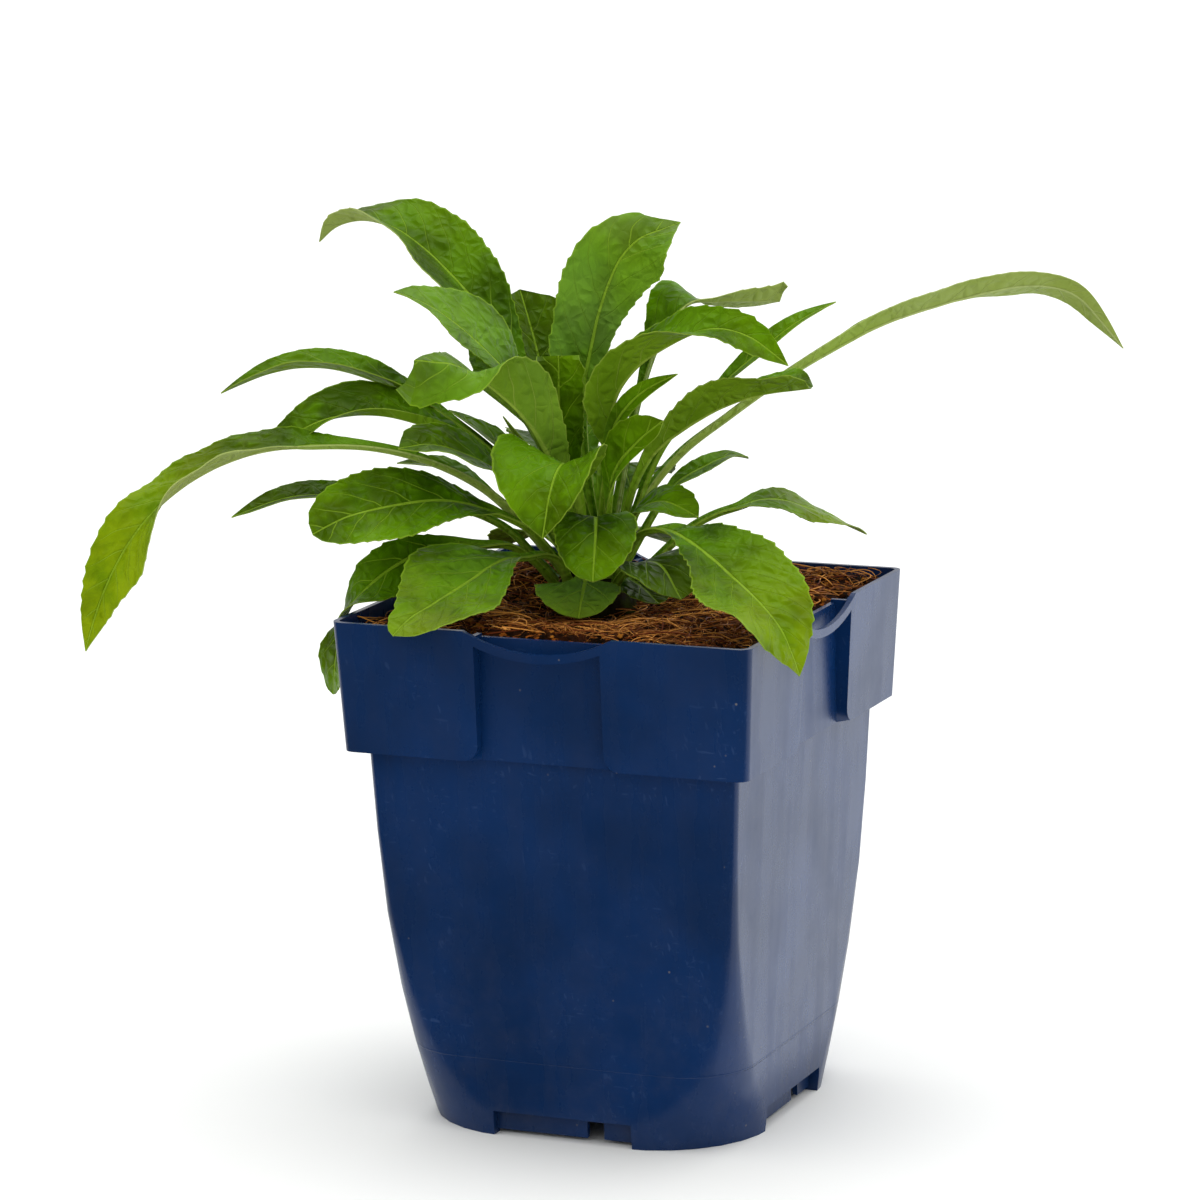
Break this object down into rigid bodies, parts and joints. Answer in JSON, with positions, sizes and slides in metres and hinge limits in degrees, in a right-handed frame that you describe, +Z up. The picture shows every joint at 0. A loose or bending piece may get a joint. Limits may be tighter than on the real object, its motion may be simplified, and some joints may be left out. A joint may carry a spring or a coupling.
{
  "type": "potted bellflower",
  "caption": "Young leafy bellflower in a square nursery pot: a rosette of arching toothed leaves on a short crown, in potting mix.",
  "frame": {"origin": "centre of the pot's underside, on the surface that the pot stands on", "axes": "+Z up, along the pot's axis; +X and +Y square to two neighbouring sides of the pot"},
  "size_m": [0.2138, 0.1701, 0.2247],
  "materials": {
    "pot_plastic": "satin",
    "potting_mix": "matte",
    "crown": "matte",
    "leaf": "satin"
  },
  "bodies": {
    "root": {"leaf_back_left_low": "leaf", "leaf_back_left_mid": "leaf", "leaf_back_left_tall": "leaf", "leaf_back_low": "leaf", "leaf_back_mid": "leaf", "leaf_back_right_low": "leaf", "leaf_back_right_mid": "leaf", "leaf_centre_upright": "leaf", "leaf_front_bottom": "leaf", "leaf_front_heart": "leaf", "leaf_front_left_spoon": "leaf", "leaf_front_low_heart": "leaf", "leaf_left_arching": "leaf", "leaf_left_drooping": "leaf", "leaf_left_far_small": "leaf", "leaf_left_folded": "leaf", "leaf_left_inner_dark": "leaf", "leaf_left_inner_small": "leaf", "leaf_left_long": "leaf", "leaf_left_low_pale": "leaf", "leaf_left_short": "leaf", "leaf_left_spoon": "leaf", "leaf_left_under": "leaf", "leaf_right_blunt": "leaf", "leaf_right_dark": "leaf", "leaf_right_droop": "leaf", "leaf_right_front_big": "leaf", "leaf_right_inner": "leaf", "leaf_right_long": "leaf", "leaf_right_short": "leaf", "leaf_right_slim": "leaf", "leaf_right_small": "leaf", "leaf_right_tiny": "leaf", "leaf_top_big": "leaf", "leaf_top_dark": "leaf", "leaf_upper_left_curled": "leaf", "leaf_upper_left_front": "leaf", "leaf_upper_left_pale": "leaf", "leaf_upper_right_back": "leaf", "leaf_upper_right_bent": "leaf", "pot": "pot_plastic", "root_crown": "crown", "soil": "potting_mix"}
  },
  "joints": []
}
